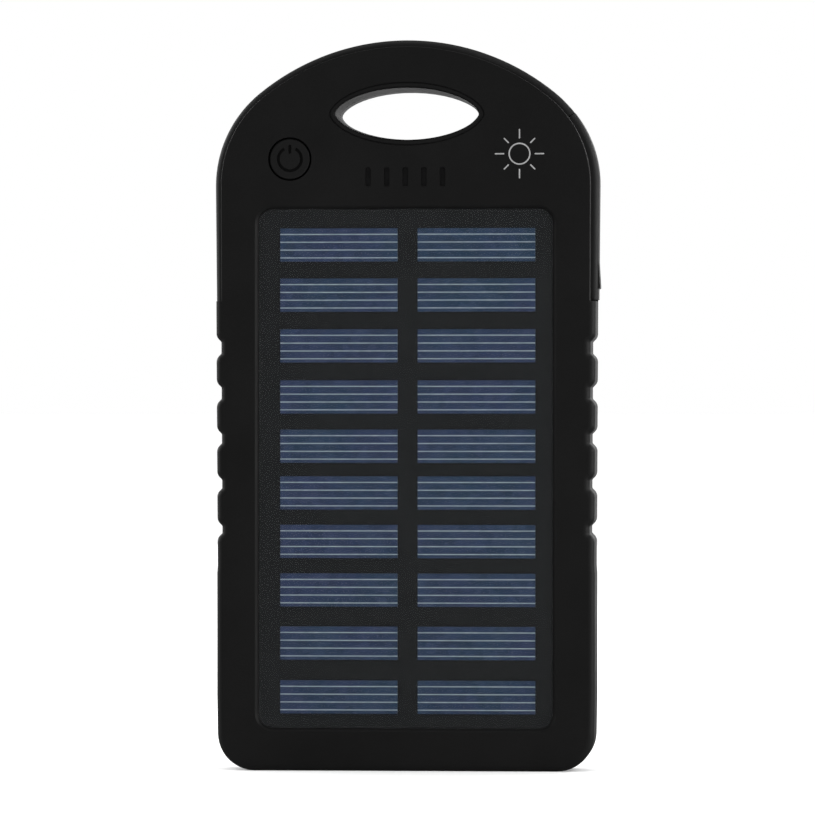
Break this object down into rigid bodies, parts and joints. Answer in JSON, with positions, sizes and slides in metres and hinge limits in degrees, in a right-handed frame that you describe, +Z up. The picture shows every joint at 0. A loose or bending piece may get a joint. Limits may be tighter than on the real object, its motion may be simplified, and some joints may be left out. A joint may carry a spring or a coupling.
{
  "type": "solar phone charger",
  "caption": "Slim rugged solar power bank with a panel in its front, a carry hole, grip notches, a power button and a soft cover over its USB ports.",
  "frame": {"origin": "middle of the foot, the lower short edge, that the charger stands on", "axes": "+Z up the long axis to the carry hole, -Y out of the solar panel, +X to the side of the port cover"},
  "size_m": [0.0748, 0.014, 0.1415],
  "materials": {
    "shell_black": "fine matte moulding texture",
    "silicone_black": "matte silicone",
    "seal_grey": "silicone cord",
    "screw_steel": "black zinc",
    "panel_ground": "dark laminate",
    "cell_blue": "polycrystalline silicon",
    "panel_film": "clear satin film",
    "foam_black": "closed-cell foam tape",
    "key_black": "matte",
    "switch_black": "matte",
    "guide_smoked": "smoked bars",
    "led_white": "LED package",
    "pcb_green": "solder mask",
    "chip_black": "moulded package",
    "ferrite": "ferrite core",
    "ceramic": "ceramic",
    "port_steel": "tinned sheet steel",
    "tongue_black": "moulded insulator",
    "contact_gold": "gold flash",
    "pouch_silver": "laminated foil pouch",
    "board_amber": "polyimide tape over board",
    "wire_red": "insulation",
    "wire_black": "insulation",
    "torch_clear": "clear lens",
    "torch_mirror": "metallised plastic",
    "torch_phosphor": "LED phosphor"
  },
  "bodies": {
    "case": {"battery_lead_black": "wire_black", "battery_lead_red": "wire_red", "battery_pouch": "pouch_silver", "battery_protection_board": "board_amber", "battery_tape": "foam_black", "capacitors": "ceramic", "case_gasket": "seal_grey", "case_screws": "screw_steel", "controller_chips": "chip_black", "front_shell": "shell_black", "indicator_leds": "led_white", "light_guide": "guide_smoked", "main_pcb": "pcb_green", "micro_usb_contacts": "contact_gold", "micro_usb_shell": "port_steel", "micro_usb_tongue": "tongue_black", "panel_adhesive": "foam_black", "panel_board": "panel_ground", "panel_cover_film": "panel_film", "pcb_screws": "screw_steel", "power_inductor": "ferrite", "rear_shell": "shell_black", "rim_band": "silicone_black", "solar_cells": "cell_blue", "solar_lead_black": "wire_black", "solar_lead_red": "wire_red", "tact_switch": "switch_black", "torch_led": "torch_phosphor", "torch_lens": "torch_clear", "torch_reflector": "torch_mirror", "usb_a_contacts": "contact_gold", "usb_a_shell": "port_steel", "usb_a_tongue": "tongue_black"},
    "port_cover": {"port_cover": "silicone_black"},
    "power_key": {"power_button": "key_black", "switch_plunger": "switch_black"}
  },
  "joints": [
    {"name": "port_cover_hinge", "type": "hinge", "parent": "case", "child": "port_cover", "pos_m": [0.03278, 0, 0.12743], "axis": [0, -1, 0], "range_deg": [0, 110], "stiffness_Nm_per_rad": 0.0015},
    {"name": "power_button_press", "type": "slide", "parent": "case", "child": "power_key", "axis": [0, 1, 0], "range_m": [0, 0.0004], "stiffness_N_per_m": 3000, "springref_m": -0.0001}
  ]
}
